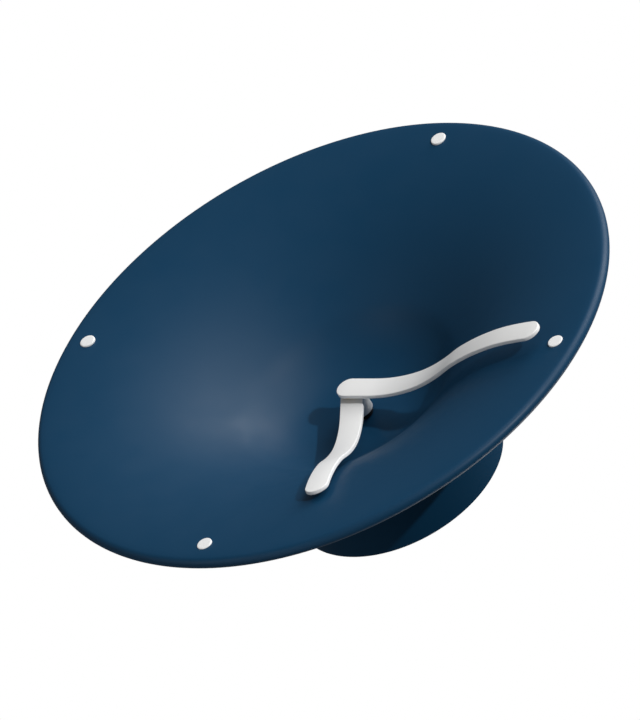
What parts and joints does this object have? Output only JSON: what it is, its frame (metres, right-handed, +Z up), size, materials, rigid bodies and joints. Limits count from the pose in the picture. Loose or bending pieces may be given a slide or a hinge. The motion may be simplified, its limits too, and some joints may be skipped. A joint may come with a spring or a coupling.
{
  "type": "wall clock",
  "caption": "Analogue wall clock with a flared trumpet-shaped dish dial on a round drum, raised dot markers, two S-bent hands and a battery quartz movement behind the floor of the dish.",
  "frame": {"origin": "centre of the flat back that lies on the wall, on the axis of the hands", "axes": "+Z up to the twelve o'clock marker, +X to the three o'clock marker, -Y out of the dial along the axis of the hands"},
  "size_m": [0.3, 0.101, 0.3],
  "materials": {
    "navy_shell": "satin navy blue paint on a moulded shell",
    "navy_drum": "satin navy blue",
    "white_marker": "satin white",
    "white_hand": "satin white",
    "white_hub": "satin white",
    "back_plastic": "fine moulded texture",
    "hanger_steel": "zinc plated",
    "collet_brass": "turned",
    "bush_brass": "turned, threaded",
    "washer_rubber": "matt",
    "nut_black": "black oxide, satin",
    "case_black": "fine moulded texture",
    "natural_plastic": "natural acetal",
    "arbor_brass": "turned",
    "rotor_iron": "sintered magnet",
    "knob_red": "moulded",
    "stator_iron": "soft iron sheet",
    "winding_copper": "enamelled copper wire",
    "board_green": "solder resist",
    "contact_steel": "nickel plated",
    "cell_sleeve": "plain sleeve",
    "screw_steel": "zinc plated"
  },
  "bodies": {
    "housing": {"dial_shell": "navy_shell", "rear_drum": "navy_drum", "marker_12": "white_marker", "marker_3": "white_marker", "marker_6": "white_marker", "marker_9": "white_marker", "back_plate": "back_plastic", "hanger_plate": "hanger_steel", "threaded_bush": "bush_brass", "rubber_washer": "washer_rubber", "fixing_nut": "nut_black", "movement_case": "case_black", "movement_front_plate": "case_black", "train_bridge": "natural_plastic", "stator": "stator_iron", "coil_bobbin": "case_black", "coil_winding": "winding_copper", "circuit_board": "board_green", "quartz_crystal": "contact_steel", "clock_chip": "case_black", "battery_cell": "cell_sleeve", "positive_contact": "contact_steel", "negative_spring": "contact_steel", "drum_screw_1": "screw_steel", "back_screw_1": "screw_steel", "drum_screw_2": "screw_steel", "back_screw_2": "screw_steel", "drum_screw_3": "screw_steel", "back_screw_3": "screw_steel", "drum_screw_4": "screw_steel", "back_screw_4": "screw_steel"},
    "minute_train": {"minute_hand": "white_hand", "minute_hand_collet": "collet_brass", "minute_arbor": "arbor_brass"},
    "hour_train": {"hour_hand": "white_hand", "hour_hand_hub": "white_hub", "hour_wheel": "natural_plastic"},
    "minute_wheel_body": {"minute_wheel": "natural_plastic"},
    "setting_knob_body": {"setting_knob": "knob_red"},
    "third_wheel_body": {"third_wheel": "natural_plastic"},
    "seconds_wheel_body": {"seconds_wheel": "natural_plastic"},
    "intermediate_wheel_body": {"intermediate_wheel": "natural_plastic"},
    "rotor_body": {"rotor": "rotor_iron"},
    "battery_door_body": {"battery_door": "back_plastic"}
  },
  "joints": [
    {"name": "minute_turn", "type": "hinge", "parent": "housing", "child": "minute_train", "pos_m": [0, -0.06, 0], "axis": [0, 1, 0], "continuous": true},
    {"name": "hour_turn", "type": "hinge", "parent": "housing", "child": "hour_train", "pos_m": [0, -0.05, 0], "axis": [0, 1, 0], "continuous": true},
    {"name": "minute_wheel_turn", "type": "hinge", "parent": "housing", "child": "minute_wheel_body", "pos_m": [-0.009, -0.033, 0], "axis": [0, 1, 0], "continuous": true},
    {"name": "setting_knob_turn", "type": "hinge", "parent": "housing", "child": "setting_knob_body", "pos_m": [-0.00477, -0.022, -0.00795], "axis": [0, 1, 0], "continuous": true},
    {"name": "third_wheel_turn", "type": "hinge", "parent": "housing", "child": "third_wheel_body", "pos_m": [0.00432, -0.027, 0.00748], "axis": [0, 1, 0], "continuous": true},
    {"name": "seconds_wheel_turn", "type": "hinge", "parent": "housing", "child": "seconds_wheel_body", "pos_m": [0.01199, -0.027, 0.01027], "axis": [0, 1, 0], "continuous": true},
    {"name": "intermediate_wheel_turn", "type": "hinge", "parent": "housing", "child": "intermediate_wheel_body", "pos_m": [0.01535, -0.026, 0.00445], "axis": [0, 1, 0], "continuous": true},
    {"name": "rotor_turn", "type": "hinge", "parent": "housing", "child": "rotor_body", "pos_m": [0.01684, -0.029, -0.00111], "axis": [0, 1, 0], "continuous": true},
    {"name": "battery_door_swing", "type": "hinge", "parent": "housing", "child": "battery_door_body", "pos_m": [0, -0.0013, -0.0315], "axis": [-1, 0, 0], "range_deg": [0, 105]}
  ],
  "couplings": [
    {"joint": "hour_turn", "follows": "minute_turn", "ratio": 0.083333},
    {"joint": "minute_wheel_turn", "follows": "minute_turn", "ratio": -0.33333},
    {"joint": "setting_knob_turn", "follows": "minute_turn", "ratio": 1},
    {"joint": "third_wheel_turn", "follows": "minute_turn", "ratio": -8},
    {"joint": "seconds_wheel_turn", "follows": "minute_turn", "ratio": 60},
    {"joint": "intermediate_wheel_turn", "follows": "minute_turn", "ratio": -360},
    {"joint": "rotor_turn", "follows": "minute_turn", "ratio": 1800}
  ]
}
